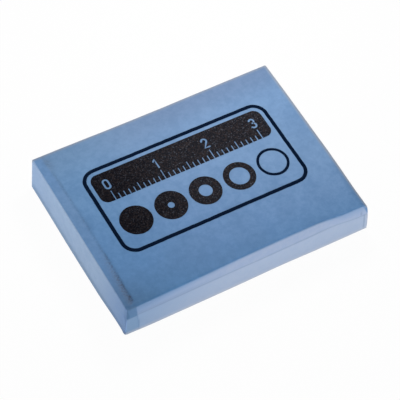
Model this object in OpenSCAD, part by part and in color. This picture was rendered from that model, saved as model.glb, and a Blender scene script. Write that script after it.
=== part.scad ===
// Soft art eraser block with a one-colour print on its top.
// The origin is at the middle of the underside, X runs along the block,
// Y runs from its front to its back and Z points up.

/* [Block] */
// Length of the block from its left end to its right end
block_l = 50; // [42:0.5:60]
// Width of the block from front to back
block_w = 35; // [32:0.1:48]
// Thickness of the block
block_h = 8.4; // [5:0.1:14]
// How far the right end leans in from its foot to its top
end_lean = 1.25; // [0.5:0.05:2]

/* [Edges] */
// Width of the soft shoulder along the front of the top
shoulder_w = 0.5; // [0.3:0.05:1.2]
// Drop of that shoulder down the front side
shoulder_drop = 2.6; // [1.4:0.05:3.2]
// Radius where the shoulder runs into the top and into the side
shoulder_r = 0.4; // [0.2:0.05:1]
// Radius along the back of the top
back_edge_r = 0.3; // [0.2:0.05:1]
// Radius along the edges of the underside, apart from the left one
base_edge_r = 0.4; // [0.2:0.05:1]
// Radius round the left end, where the block was cut
left_edge_r = 0.25; // [0.15:0.05:0.6]
// Radius along the top of the right end, which is softer
right_edge_r = 0.8; // [0.3:0.05:1.2]
// Radius up the two corners of the right end
right_corner_r = 0.4; // [0.2:0.05:1]
// Outward bow of the right end at its middle
right_bow = 0.15; // [0.1:0.05:0.8]

/* [Crease] */
// Distance of the crease from the left end
crease_in = 2; // [1.4:0.1:3]
// Width of the crease
crease_w = 0.35; // [0.2:0.05:0.6]
// Depth of the crease
crease_d = 0.15; // [0.05:0.05:0.3]
// How far the top sinks between the crease and the left end
left_sink = 0.3; // [0.1:0.05:0.6]

/* [Print frame] */
// Thickness of the ink
ink_t = 0.05; // [0.03:0.01:0.2]
// Width of the frame's line
frame_line = 0.6; // [0.3:0.05:0.7]
// Bare margin between the left end and the frame
margin_left = 5.5; // [4:0.1:7]
// Bare margin between the foot of the right end and the frame
margin_right = 6.9; // [5:0.1:8]
// Bare margin between the back side and the frame
margin_back = 6.6; // [4:0.1:8]
// Bare margin between the front side and the frame
margin_front = 9.5; // [5:0.1:11]
// Outer radius of the frame's corners
frame_corner_r = 2.8; // [2:0.1:4]

/* [Print scale] */
// Height of the solid band that holds the scale
band_h = 6.2; // [5.4:0.1:7]
// Bare gap between the band and the frame's line
band_gap = 0.7; // [0.4:0.1:1]
// Radius of the band's corners
band_corner_r = 1.5; // [0.8:0.1:2.4]
// Distance from one mark of the scale to the next
tick_pitch = 1; // [0.9:0.05:1.1]
// Width of a mark
tick_w = 0.2; // [0.15:0.01:0.3]
// Length of a mark
tick_short = 1.1; // [0.8:0.1:1.3]
// Length of each fifth mark
tick_mid = 1.6; // [1.4:0.1:1.8]
// Length of each tenth mark
tick_long = 2.1; // [1.9:0.1:2.3]
// Height of a numeral over its strokes' middles
digit_h = 1.9; // [1.6:0.1:2]
// Width of a numeral's stroke
digit_stroke = 0.38; // [0.25:0.01:0.42]
// Bare ink between a tenth mark and its numeral
digit_gap = 0.4; // [0.3:0.05:0.5]

/* [Print discs] */
// Number of discs in the row below the band
disc_count = 5; // [3:1:5]
// Diameter of a disc
disc_d = 6; // [4:0.1:6.4]
// Width of the line of the last disc, the thinnest ring
ring_line = 0.5; // [0.3:0.05:1]

/* [Hidden] */
$fn = 64;

// Number of marks between two numerals
marks_per_digit = 10;
// Least ink left at each end of the scale
scale_side = 2;
// Extra length of a cutting shape past the surface that it cuts
past = 1;

left_x = -block_l / 2;
right_x = block_l / 2;
front_y = -block_w / 2;
back_y = block_w / 2;
crease_x = left_x + crease_in;
bow_r = (pow(block_w / 2, 2) + pow(right_bow, 2)) / (2 * right_bow);
bow_turn = asin(block_w / 2 / bow_r);
lean_turn = atan(end_lean / block_h);

frame_w = block_l - margin_left - margin_right;
frame_d = block_w - margin_front - margin_back;
frame_x = (margin_left - margin_right) / 2;
frame_y = (margin_front - margin_back) / 2;
band_inset = frame_line + band_gap;
band_w = frame_w - 2 * band_inset;
band_y = frame_y + frame_d / 2 - band_inset - band_h / 2;
band_low = band_y - band_h / 2;
scale_tens = floor((band_w - 2 * scale_side) / (marks_per_digit * tick_pitch));
scale_marks = scale_tens * marks_per_digit;
scale_x = frame_x - scale_marks * tick_pitch / 2;
disc_pitch = band_w / disc_count;
disc_y = (band_low + frame_y - frame_d / 2 + frame_line) / 2;
ring_step = (disc_d / 2 - ring_line) / (disc_count - 1);

// Points on a round stretch that begins and ends at the given angles
function bend(centre, radius, from, to, steps = 8) =
    [for (i = [0 : steps])
        let (angle = from + (to - from) * i / steps)
        centre + radius * [cos(angle), sin(angle)]];

// Middle lines of the numerals 0 to 4, drawn 2 wide and 4 high
NUMERALS = [
    concat(bend([1, 3], 1, 0, 180), bend([1, 1], 1, 180, 360), [[2, 3]]),
    [[0.3, 3.2], [1.1, 4], [1.1, 0]],
    concat(bend([1, 3], 1, 170, -35), [[0, 0], [2, 0]]),
    concat(bend([1, 3.05], 0.95, 150, -90), bend([1, 1.05], 1.05, 90, -150)),
    [[1.5, 0], [1.5, 4], [0, 1.2], [2, 1.2]]
];

// Unit direction from one point to another
function heading(from, to) = (to - from) / norm(to - from);

// Points that round one corner of an outline drawn anticlockwise
function rounded(before, corner, after, radius) =
    let (way = heading(before, corner),
         turn = acos(way * heading(corner, after)),
         start = corner - radius * tan(turn / 2) * way,
         centre = start + radius * [-way[1], way[0]],
         from = atan2(way[1], way[0]) - 90)
    bend(centre, radius, from, from + turn);

// Convex outline drawn anticlockwise, where a radius of 0 leaves a corner as it is
function soft_outline(points, radii) =
    let (count = len(points))
    [for (i = [0 : count - 1])
        let (before = points[(i + count - 1) % count], after = points[(i + 1) % count])
        each radii[i] == 0 ? [points[i]] : rounded(before, points[i], after, radii[i])];

// Rectangle with equal rounded corners, centred
module soft_rect(width, height, radius) {
    polygon(soft_outline(
        [[-width / 2, -height / 2], [width / 2, -height / 2],
         [width / 2, height / 2], [-width / 2, height / 2]],
        [radius, radius, radius, radius]));
}

// Section across the block, Y to the right and Z up, drawn in by a depth
module cross_section(depth = 0) {
    polygon(soft_outline(
        [[front_y + depth, 0], [back_y - depth, 0], [back_y - depth, block_h - depth],
         [front_y + shoulder_w + depth, block_h - depth],
         [front_y + depth, block_h - shoulder_drop - depth]],
        [base_edge_r, base_edge_r, back_edge_r, shoulder_r, shoulder_r]));
}

// Side view of the block along its length, with the sunken left end and the leaning right end
module long_section() {
    polygon(soft_outline(
        [[left_x, 0], [right_x, 0], [right_x - end_lean, block_h],
         [crease_x, block_h], [left_x, block_h - left_sink]],
        [left_edge_r, base_edge_r, right_edge_r, 0, left_edge_r]));
}

// Plan with the soft corners of the left end, open past the right end
module left_plan() {
    polygon(soft_outline(
        [[left_x, front_y], [right_x + past, front_y], [right_x + past, back_y], [left_x, back_y]],
        [left_edge_r, 0, 0, left_edge_r]));
}

// Plan with the bow and the soft corners of the right end, open past the left end
module right_plan() {
    bow = bend([right_x - bow_r, 0], bow_r, -bow_turn, bow_turn, 7);
    polygon(soft_outline(
        concat([[left_x - block_h, front_y]], bow, [[left_x - block_h, back_y]]),
        concat([0, right_corner_r], [for (i = [2 : len(bow) - 1]) 0], [right_corner_r, 0])));
}

// Stand a plan up so that it leans like the right end and hinges on its foot.
// Its flat top leans with it, so it is drawn tall enough to clear the left end.
module leaning() {
    translate([right_x, 0, 0])
        rotate([0, -lean_turn, 0])
            translate([-right_x, 0, -past])
                linear_extrude(block_l) children();
}

// Stand a section that is drawn in Y and Z along the X axis
module along_x(length) {
    rotate([90, 0, 90]) linear_extrude(length, center = true) children();
}

// Stand a section that is drawn in X and Z along the Y axis
module along_y(length) {
    rotate([90, 0, 0]) linear_extrude(length, center = true) children();
}

// Shallow fold that runs over the top and down the front and back sides
module crease() {
    translate([crease_x, 0, 0])
        along_x(crease_w)
            difference() {
                translate([front_y - past, base_edge_r])
                    square([block_w + 2 * past, block_h + past]);
                cross_section(crease_d);
            }
}

module eraser_block() {
    color([0.42, 0.57, 0.75])
        difference() {
            intersection() {
                along_x(block_l) cross_section();
                along_y(block_w) long_section();
                linear_extrude(block_h) left_plan();
                leaning() right_plan();
            }
            crease();
        }
}

// Straight stroke with round ends
module stroke(from, to, width) {
    turn = atan2(to[1] - from[1], to[0] - from[0]);
    polygon(concat(
        bend(from, width / 2, turn + 90, turn + 270),
        bend(to, width / 2, turn - 90, turn + 90)));
}

// One numeral of the scale, standing on the line y = 0 and centred
module numeral(value) {
    unit = digit_h / 4;
    line = NUMERALS[value];
    translate([-unit, digit_stroke / 2])
        for (i = [1 : len(line) - 1])
            stroke(unit * line[i - 1], unit * line[i], digit_stroke);
}

// Marks and numerals that stay bare in the band
module scale_marks() {
    for (i = [0 : scale_marks]) {
        length = i % marks_per_digit == 0 ? tick_long
            : i % (marks_per_digit / 2) == 0 ? tick_mid : tick_short;
        translate([scale_x + i * tick_pitch - tick_w / 2, band_low - past])
            square([tick_w, past + length]);
    }
    for (i = [0 : scale_tens])
        translate([scale_x + i * marks_per_digit * tick_pitch, band_low + tick_long + digit_gap])
            numeral(i);
}

module frame_outline() {
    translate([frame_x, frame_y])
        difference() {
            soft_rect(frame_w, frame_d, frame_corner_r);
            soft_rect(frame_w - 2 * frame_line, frame_d - 2 * frame_line,
                frame_corner_r - frame_line);
        }
}

module scale_band() {
    difference() {
        translate([frame_x, band_y]) soft_rect(band_w, band_h, band_corner_r);
        scale_marks();
    }
}

// Row of discs that open up step by step into thin rings
module disc_row() {
    for (i = [0 : disc_count - 1])
        translate([frame_x + (i - (disc_count - 1) / 2) * disc_pitch, disc_y])
            difference() {
                circle(d = disc_d);
                if (i > 0) circle(r = i * ring_step);
            }
}

module label_print() {
    color([0.1, 0.12, 0.19])
        translate([0, 0, block_h])
            linear_extrude(ink_t) {
                frame_outline();
                scale_band();
                disc_row();
            }
}

eraser_block();
label_print();
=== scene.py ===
# %% [markdown]
# A soft art eraser on a white table
#
# The object is one block of pale blue eraser rubber, about 50 mm long, with a dark
# one-colour print on its top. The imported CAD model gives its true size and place,
# and this script gives it its looks. Everything is in metres, so lengths that are
# easier to read in millimetres are multiplied by MM.

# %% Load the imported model
import math

import bpy
import numpy as np
from mathutils import Matrix, Vector, noise


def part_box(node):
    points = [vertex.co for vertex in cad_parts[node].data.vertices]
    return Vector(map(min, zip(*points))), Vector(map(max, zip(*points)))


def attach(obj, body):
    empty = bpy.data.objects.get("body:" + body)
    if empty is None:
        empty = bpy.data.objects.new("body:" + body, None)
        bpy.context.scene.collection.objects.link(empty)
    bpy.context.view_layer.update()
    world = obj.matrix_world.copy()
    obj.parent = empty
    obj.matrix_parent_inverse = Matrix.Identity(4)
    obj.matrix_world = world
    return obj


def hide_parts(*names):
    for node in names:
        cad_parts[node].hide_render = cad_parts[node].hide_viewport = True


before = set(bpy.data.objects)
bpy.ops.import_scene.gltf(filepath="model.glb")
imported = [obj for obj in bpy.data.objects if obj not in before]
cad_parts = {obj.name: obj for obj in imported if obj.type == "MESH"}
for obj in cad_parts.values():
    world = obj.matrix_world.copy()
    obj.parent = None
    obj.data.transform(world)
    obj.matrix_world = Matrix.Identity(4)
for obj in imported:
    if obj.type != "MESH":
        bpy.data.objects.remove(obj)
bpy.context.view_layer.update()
MM = 0.001
BLOCK_LOW, BLOCK_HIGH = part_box("eraser_block")
PRINT_LOW, PRINT_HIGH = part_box("label_print")
print("CAD nodes:", sorted(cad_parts))
print("block, mm:", [round(side / MM, 2) for side in BLOCK_HIGH - BLOCK_LOW])

# %% [markdown]
# The camera
#
# The photograph looks down on the block from its front left corner through a long
# lens, slightly tilted. A real photographer would walk back and zoom in; here the
# focal length is given in pixels of the picture, which is 400 pixels wide, and is
# turned into millimetres. The camera's axes are worked out by hand, because a tilt
# about the line of sight is easiest to add to them before they go into its matrix.

# %% Camera
PICTURE_PIXELS = 400
FOCAL_PIXELS = 1793.4
SENSOR_WIDTH = 36.0
AZIMUTH = -36.64
ELEVATION = 55.36
TILT = 8.22
CAMERA_DISTANCE = 324.1 * MM
AXIS_OFFSET_PIXELS = (-0.4, 7.3)
CLIP_NEAR = 10 * MM
CLIP_FAR = 10


def camera_axes(azimuth, elevation, tilt):
    """Right, up and backward directions of a camera that is turned about its line of sight"""
    a, e, t = (math.radians(angle) for angle in (azimuth, elevation, tilt))
    back = Vector((math.sin(a) * math.cos(e), -math.cos(a) * math.cos(e), math.sin(e)))
    level_right = Vector((0, 0, 1)).cross(back).normalized()
    level_up = back.cross(level_right)
    right = math.cos(t) * level_right + math.sin(t) * level_up
    up = math.cos(t) * level_up - math.sin(t) * level_right
    return right, up, back


def add_camera():
    """The scene's camera, aimed at the middle of the block's underside"""
    lens = bpy.data.cameras.new("camera")
    lens.sensor_width = SENSOR_WIDTH
    lens.lens = FOCAL_PIXELS * SENSOR_WIDTH / PICTURE_PIXELS
    lens.shift_x = -AXIS_OFFSET_PIXELS[0] / PICTURE_PIXELS
    lens.shift_y = AXIS_OFFSET_PIXELS[1] / PICTURE_PIXELS
    lens.clip_start, lens.clip_end = CLIP_NEAR, CLIP_FAR
    camera = bpy.data.objects.new("camera", lens)
    bpy.context.collection.objects.link(camera)
    right, up, back = camera_axes(AZIMUTH, ELEVATION, TILT)
    turn = Matrix((right, up, back)).transposed().to_4x4()
    camera.matrix_world = Matrix.Translation(back * CAMERA_DISTANCE) @ turn
    bpy.context.scene.camera = camera
    return camera


camera = add_camera()
print("lens, mm:", round(camera.data.lens, 1))

# %% [markdown]
# Node helpers
#
# Materials and node groups are easier to read as formulas than as lists of links.
# A Socket wraps one output of a node, and adding or multiplying it adds the Math
# node for it. Every other node comes from Nodes.add, which first makes the node's
# settings and then fills its inputs with values or with other sockets.

# %% Sockets as numbers
class Socket:
    """One output of a node, which can be calculated with like a number"""

    def __init__(self, nodes, output):
        self.nodes = nodes
        self.output = output

    def math(self, operation, *others, clamp=False):
        """One Math node, with this value as its first input"""
        values = dict(enumerate((self, *others)))
        settings = {"operation": operation, "use_clamp": clamp}
        return self.nodes.add("ShaderNodeMath", settings, values).out()

    def __add__(self, other):
        return self.math("ADD", other)

    def __mul__(self, other):
        return self.math("MULTIPLY", other)

    def __sub__(self, other):
        return self.math("SUBTRACT", other)

    def __rsub__(self, other):
        return self.nodes.add("ShaderNodeMath", {"operation": "SUBTRACT"}, {0: other, 1: self}).out()

    __radd__, __rmul__ = __add__, __mul__

    def clipped(self):
        """The value held between 0 and 1"""
        return self.math("ADD", 0.0, clamp=True)

    def ramp(self, low, high):
        """Soft step from 0 at low to 1 at high, which may be the smaller one"""
        values = {"Value": self, "From Min": low, "From Max": high, "To Min": 0.0, "To Max": 1.0}
        settings = {"interpolation_type": "SMOOTHSTEP"}
        return self.nodes.add("ShaderNodeMapRange", settings, values).out()

    def step(self, start, end):
        """The same step for a length, between two lengths in millimetres"""
        return self.ramp(start * MM, end * MM)


class Made:
    """A new node, with its outputs by name or by number"""

    def __init__(self, nodes, node):
        self.nodes = nodes
        self.node = node

    def out(self, name=0):
        """One of the node's outputs, ready to be calculated with"""
        return Socket(self.nodes, self.node.outputs[name])


# %% Nodes of one tree
# A Mix node has inputs of the same name for numbers, vectors and colours, so the
# ones that it uses for colours are told apart by their numbers
MIX_FACTOR = 0
MIX_FIRST_COLOUR = 6
MIX_SECOND_COLOUR = 7
MIXED_COLOUR = 2


class Nodes:
    """Adds nodes to one tree and links them"""

    def __init__(self, tree):
        self.tree = tree

    def add(self, kind, settings=None, values=None):
        """A new node of a kind, with its settings made first and then its inputs filled"""
        node = self.tree.nodes.new(kind)
        for name, value in (settings or {}).items():
            setattr(node, name, value)
        for name, value in (values or {}).items():
            self.fill(node.inputs[name], value)
        return Made(self, node)

    def fill(self, socket, value):
        """Links a socket, links each of several sockets, or sets a plain value"""
        if isinstance(value, Socket):
            self.tree.links.new(value.output, socket)
        elif isinstance(value, list):
            for part in value:
                self.fill(socket, part)
        else:
            socket.default_value = value

    def mix(self, factor, first, second, blend="MIX"):
        """Colour between two colours"""
        settings = {"data_type": "RGBA", "blend_type": blend, "clamp_factor": True}
        values = {MIX_FACTOR: factor, MIX_FIRST_COLOUR: first, MIX_SECOND_COLOUR: second}
        return self.add("ShaderNodeMix", settings, values).out(MIXED_COLOUR)

    def noise(self, place, waves_per_mm, detail, roughness=0.5):
        """Soft random value between 0 and 1"""
        values = {"Vector": place, "Scale": waves_per_mm / MM, "Detail": detail, "Roughness": roughness}
        return self.add("ShaderNodeTexNoise", None, values).out("Fac")


def new_material(name):
    """A material with only its output node, and the Nodes that fill it"""
    material = bpy.data.materials.new(name)
    material.use_nodes = True
    material.node_tree.nodes.clear()
    return material, Nodes(material.node_tree)


def srgb(red, green, blue):
    """A colour written as it looks on a screen, from 0 to 255, in the renderer's linear values"""
    def linear(value):
        value = value / 255
        return value / 12.92 if value <= 0.04045 else ((value + 0.055) / 1.055) ** 2.4
    return (linear(red), linear(green), linear(blue), 1.0)


print("middle grey of the screen, linear:", round(srgb(128, 128, 128)[0], 3))

# %% [markdown]
# Table and light
#
# Small things are photographed on white card under a lamp that is close to them. A
# close lamp makes the top brighter at its back right and lets it fade towards the
# front left corner, and the rubber's colour paints more of that fade as shade and
# sheen. The sides get their light from the white card and from two low lamps that
# stand further off, one at the left and one in front. To the camera the card is
# simply white, and only a trace of the shadow stays on it. It lies a hair below the
# block, because two faces in one plane would flicker through each other.

# %% Table
FLOOR_SIZE = 3000
FLOOR_GAP = 0.02
PURE_WHITE = (1, 1, 1, 1)
CARD_WHITE = (0.86, 0.86, 0.86, 1.0)
CARD_GLOW = 0.97


def card_material():
    """White card, which the camera and shiny surfaces see brighter than the lamps alone make it"""
    material, nodes = new_material("white_card")
    path = nodes.add("ShaderNodeLightPath")
    seen = (path.out("Is Camera Ray") + path.out("Is Glossy Ray")).clipped()
    card = nodes.add("ShaderNodeBsdfDiffuse", None, {"Color": CARD_WHITE}).out()
    glow = nodes.add("ShaderNodeEmission", None, {"Color": PURE_WHITE, "Strength": 1.0}).out()
    look = nodes.add("ShaderNodeMixShader", None, {0: seen * CARD_GLOW, 1: card, 2: glow}).out()
    nodes.add("ShaderNodeOutputMaterial", None, {"Surface": look})
    return material


def add_floor():
    """One large square of card under the block"""
    mesh = bpy.data.meshes.new("floor")
    half = FLOOR_SIZE / 2 * MM
    low = -FLOOR_GAP * MM
    corners = [(-half, -half, low), (half, -half, low), (half, half, low), (-half, half, low)]
    mesh.from_pydata(corners, [], [(0, 1, 2, 3)])
    mesh.materials.append(card_material())
    floor = bpy.data.objects.new("floor", mesh)
    bpy.context.collection.objects.link(floor)
    return floor


floor = add_floor()
print("floor, m:", round(floor.dimensions.x, 2), "wide")

# %% Light
WORLD_STRENGTH = 0.13


def add_lamp(name, place, size, watts):
    """A square soft lamp, placed and sized in millimetres, that points at the block"""
    lamp = bpy.data.lights.new(name, "AREA")
    lamp.size = size * MM
    lamp.energy = watts
    holder = bpy.data.objects.new(name, lamp)
    bpy.context.collection.objects.link(holder)
    place = Vector(place) * MM
    holder.location = place
    holder.rotation_euler = place.to_track_quat("Z", "Y").to_euler()
    holder.visible_camera = False


def add_world():
    """Even white light from all round"""
    world = bpy.data.worlds.new("studio")
    world.use_nodes = True
    sky = world.node_tree.nodes["Background"]
    sky.inputs["Color"].default_value = PURE_WHITE
    sky.inputs["Strength"].default_value = WORLD_STRENGTH
    bpy.context.scene.world = world


add_world()
add_lamp("desk_lamp", place=(26, 40, 82), size=34, watts=0.065)
add_lamp("left_lamp", place=(-150, 90, 42), size=90, watts=0.17)
add_lamp("front_lamp", place=(20, -180, 20), size=40, watts=0.19)
bpy.context.scene.view_settings.view_transform = "Standard"
print("lamps:", [light.name for light in bpy.data.lights])

# %% [markdown]
# The form of the block
#
# The real block was pressed as a long bar and cut, so one section runs through it
# from end to end: flat underside, soft shoulder along the front of the top, crisp
# back edge. Each section is a convex outline with rounded corners, and the sizes
# below say how it changes from place to place. They are in millimetres from the
# middle of the underside, and a pair of places is a stretch where a change happens.

# %% Sizes of the form
LENGTH, WIDTH, HEIGHT = (BLOCK_HIGH - BLOCK_LOW) / MM
LEFT, RIGHT = -LENGTH / 2, LENGTH / 2
FRONT, BACK = -WIDTH / 2, WIDTH / 2
CREASE_X = LEFT + 2.0
SHOULDER_DROP = 2.65
SHOULDER_NARROW = 0.1
SHOULDER_WIDE = 0.6
SHOULDER_AT_END = 0.3
SHOULDER_OPENS_X = (CREASE_X - 3, 9)
SHOULDER_CLOSES_X = (13, 20.5)
SHOULDER_CLOSED = 0.95
SHOULDER_RADIUS = 0.4
SHOULDER_RADIUS_AT_END = 0.9
BACK_EDGE_RADIUS = 0.3
BACK_SAG = 0.2
BACK_SAG_X = -6
BACK_SAG_LENGTH = 12
BACK_SAG_WIDTH = 6
BASE_EDGE_RADIUS = 0.14
BASE_WORN = 0.3
BASE_WORN_X = 7
BASE_WORN_LENGTH = 6
BASE_WORN_RIGHT = 0.1
BASE_RIGHT_X = (8, RIGHT)
LEFT_EDGE_RADIUS = 0.16
RIGHT_BASE_RADIUS = 0.3
RIGHT_EDGE_RADIUS = 0.8
RIGHT_EDGE_WORN = 0.9
RIGHT_WORN_Y = (3, 14.5)
LEFT_CORNER_HIGH = 0.9
LEFT_CORNER_Z = (4.5, 6)
RIGHT_CORNER_LOW = 0.15
RIGHT_CORNER_HIGH = 0.6
RIGHT_CORNER_Z = (5, HEIGHT)
LEFT_FOOT_CORNER = 0.5
RIGHT_FOOT_CORNER = 0.12
FOOT_CORNER_Z = (0, 1.6)
RIGHT_BOW_LOW = 0.06
RIGHT_BOW_HIGH = 0.2
RIGHT_BOW_Z = (6.5, HEIGHT)
print("length, width and height of the form, mm:", round(LENGTH, 2), round(WIDTH, 2), round(HEIGHT, 2))

# %% Soft steps
def smooth(value, low, high):
    """Soft step from 0 at low to 1 at high, for numbers and arrays"""
    share = np.clip((value - low) / (high - low), 0, 1)
    return share * share * (3 - 2 * share)


def beyond(distance, blend):
    """Soft step that crosses from 0 to 1 where the distance turns positive"""
    return smooth(distance, -blend, blend)


def ridge(distance, width):
    """1 on a line and 0 away from it"""
    return np.exp(-((distance / width) ** 2))


def between(first, second, share):
    """The value at a share of the way from the first to the second"""
    return first + (second - first) * share


def shoulder_width(x):
    """The shoulder widens from the crease to right of the middle and closes near the right end"""
    closing = SHOULDER_CLOSED * smooth(x, *SHOULDER_CLOSES_X)
    widening = (SHOULDER_WIDE - SHOULDER_NARROW) * smooth(x, *SHOULDER_OPENS_X)
    width = SHOULDER_NARROW + widening * (1 - closing)
    return between(width, SHOULDER_AT_END, 1 - smooth(x, LEFT, CREASE_X))


print("shoulder at the middle, mm:", round(float(shoulder_width(0)), 2))

# %% [markdown]
# Outlines
#
# An outline is a list of corners, each with the radius that it is rounded by. The
# sides of a convex outline are enough to say how far a point can go before it
# leaves the form, so each outline is read as a set of sides and their distances.

# %% Rounded outlines
ARC_STEPS = 8
SHORTEST_SIDE = 1e-6


def unit(vector):
    """The same direction, one long"""
    return vector / np.linalg.norm(vector)


def rounded_outline(corners, radii):
    """Points of a convex outline, drawn anticlockwise, with an arc at each corner that has a radius"""
    corners = [np.array(corner, float) for corner in corners]
    points = []
    for i, (corner, radius) in enumerate(zip(corners, radii)):
        if radius == 0:
            points.append(corner)
            continue
        way = unit(corner - corners[i - 1])
        onward = unit(corners[(i + 1) % len(corners)] - corner)
        turn = math.acos(np.clip(way @ onward, -1, 1))
        left_of_way = np.array((-way[1], way[0]))
        centre = corner - radius * math.tan(turn / 2) * way + radius * left_of_way
        for step in np.linspace(0, turn, ARC_STEPS + 1):
            points.append(centre + radius * (math.sin(step) * way - math.cos(step) * left_of_way))
    return np.array(points)


def sides_of(points):
    """Outward normals of an outline's sides, and each side's distance along its normal"""
    along = np.roll(points, -1, axis=0) - points
    keep = np.linalg.norm(along, axis=1) > SHORTEST_SIDE
    normals = np.stack((along[:, 1], -along[:, 0]), 1)[keep]
    normals /= np.linalg.norm(normals, axis=1)[:, None]
    return normals, (normals * points[keep]).sum(1)


# %% Three outlines
BOW_POINTS = 9


def cross_section(x):
    """Outline across the block at x, in Y and Z, whose back edge has slumped left of the middle"""
    sag = BACK_SAG * ridge(x - BACK_SAG_X, BACK_SAG_LENGTH)
    corners = [
        (FRONT, 0), (BACK, 0), (BACK, HEIGHT - sag), (BACK - BACK_SAG_WIDTH, HEIGHT),
        (FRONT + shoulder_width(x), HEIGHT), (FRONT, HEIGHT - SHOULDER_DROP),
    ]
    soft = between(SHOULDER_RADIUS, SHOULDER_RADIUS_AT_END, 1 - smooth(x, LEFT, CREASE_X))
    base = BASE_EDGE_RADIUS + BASE_WORN * ridge(x - BASE_WORN_X, BASE_WORN_LENGTH)
    base += BASE_WORN_RIGHT * smooth(x, *BASE_RIGHT_X)
    return rounded_outline(corners, [base, base, BACK_EDGE_RADIUS, 0, soft, soft])


def long_section(y):
    """Outline along the block at y, in X and Z, before its right end is leant over"""
    corners = [(LEFT, 0), (RIGHT, 0), (RIGHT, HEIGHT), (LEFT, HEIGHT)]
    right_edge = RIGHT_EDGE_RADIUS + RIGHT_EDGE_WORN * smooth(-y, *RIGHT_WORN_Y)
    return rounded_outline(corners, [LEFT_EDGE_RADIUS, RIGHT_BASE_RADIUS, right_edge, LEFT_EDGE_RADIUS])


def plan(z):
    """Outline from above at a height, in X and Y, with the bowed right end"""
    bow = between(RIGHT_BOW_LOW, RIGHT_BOW_HIGH, smooth(z, *RIGHT_BOW_Z))
    bowed = [(RIGHT - bow * (y / BACK) ** 2, y) for y in np.linspace(FRONT, BACK, BOW_POINTS)]
    at_foot = 1 - smooth(z, *FOOT_CORNER_Z)
    left_corner = between(LEFT_EDGE_RADIUS, LEFT_CORNER_HIGH, smooth(z, *LEFT_CORNER_Z))
    right_corner = between(RIGHT_CORNER_LOW, RIGHT_CORNER_HIGH, smooth(z, *RIGHT_CORNER_Z))
    left_corner += LEFT_FOOT_CORNER * at_foot
    right_corner += RIGHT_FOOT_CORNER * at_foot
    along_bow = [0] * (BOW_POINTS - 2)
    radii = [left_corner, right_corner, *along_bow, 2 * RIGHT_CORNER_LOW, LEFT_EDGE_RADIUS]
    return rounded_outline([(LEFT, FRONT), *bowed, (LEFT, BACK)], radii)


print("points of the section at the middle:", len(cross_section(0)))

# %% [markdown]
# The lattice
#
# Blender could bevel a box, but a bevelled box has too few faces to press fine
# dents into. Here the points of a fine box lattice are pushed out from the block's
# core, each along its own way, until they meet the nearest side of the outlines.
# The lattice's lines lie close together at the edges and at the crease, where the
# form turns fast, and wider apart over the flat faces.

# %% Box lattice
EDGE_STEPS = (0, 0.05, 0.11, 0.18, 0.27, 0.4, 0.6, 0.75, 0.85, 0.95, 1.2)
CREASE_STEPS = (-0.5, -0.36, -0.26, -0.18, -0.11, -0.05, 0, 0.05, 0.11, 0.18, 0.26, 0.36, 0.5)
CORE_DEPTH = EDGE_STEPS[-1]
TOP_STEP = 0.34
SIDE_STEP = 0.17
LEAST_STEP = 0.15


def lattice_lines(low, high, step, extra=()):
    """Places of the lattice's lines: close together at both ends and at the extra ones"""
    near = [low + depth for depth in EDGE_STEPS] + [high - depth for depth in EDGE_STEPS]
    count = round((high - low - 2 * CORE_DEPTH) / step)
    even = np.linspace(low + CORE_DEPTH, high - CORE_DEPTH, count + 1)[1:-1]
    if len(extra):
        even = even[(even < min(extra) - LEAST_STEP) | (even > max(extra) + LEAST_STEP)]
    return np.array(sorted([*near, *even, *extra]))


def box_lattice(xs, ys, zs):
    """Points on the surface of a box, by their lines, and its quads, turned outwards"""
    shape = (len(xs), len(ys), len(zs))
    number = np.full(shape, -1)
    skin = np.zeros(shape, bool)
    for axis in range(3):
        for end in (0, -1):
            skin[(slice(None),) * axis + (end,)] = True
    number[skin] = np.arange(skin.sum())
    i, j, k = np.nonzero(skin)
    points = np.stack((xs[i], ys[j], zs[k]), 1)
    quads = []
    for axis in range(3):
        for end, outwards in ((0, False), (-1, True)):
            face = number[(slice(None),) * axis + (end,)]
            ring = [face[:-1, :-1], face[1:, :-1], face[1:, 1:], face[:-1, 1:]]
            if outwards == (axis == 1):
                ring.reverse()
            quads.append(np.stack([corner.ravel() for corner in ring], 1))
    return points, np.concatenate(quads)


lines_x = lattice_lines(LEFT, RIGHT, TOP_STEP, CREASE_X + np.array(CREASE_STEPS))
lines_y = lattice_lines(FRONT, BACK, TOP_STEP)
lines_z = lattice_lines(0, HEIGHT, SIDE_STEP)
lattice, quads = box_lattice(lines_x, lines_y, lines_z)
print("points and quads of the block:", len(lattice), len(quads))

# %% Push the lattice out
SLOWEST = 1e-9


def pushed_out(points, xs, ys, zs):
    """The lattice's points, moved along their own ways out of the core until they meet the form"""
    low = np.array((LEFT, FRONT, 0)) + CORE_DEPTH
    high = np.array((RIGHT, BACK, HEIGHT)) - CORE_DEPTH
    core = np.clip(points, low, high)
    ways = points - core
    ways /= np.linalg.norm(ways, axis=1)[:, None]
    reach = np.full(len(points), np.inf)

    def meet(rows, axes, outline):
        """Holds some of the points back to where their ways leave an outline"""
        normals, distances = sides_of(outline)
        speed = ways[rows][:, axes] @ normals.T
        room = distances - core[rows][:, axes] @ normals.T
        hits = np.where(speed > SLOWEST, room / np.maximum(speed, SLOWEST), np.inf)
        reach[rows] = np.minimum(reach[rows], hits.min(1))

    for x in xs:
        meet(np.nonzero(points[:, 0] == x)[0], [1, 2], cross_section(x))
    for y in ys:
        meet(np.nonzero(points[:, 1] == y)[0], [0, 2], long_section(y))
    for z in zs:
        meet(np.nonzero(points[:, 2] == z)[0], [0, 1], plan(z))
    return core + ways * reach[:, None], ways


form, ways_out = pushed_out(lattice, lines_x, lines_y, lines_z)
form_x, form_y, form_z = form.T
print("largest rounding, mm:", round(float(np.abs(form - lattice).max()), 2))
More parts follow.
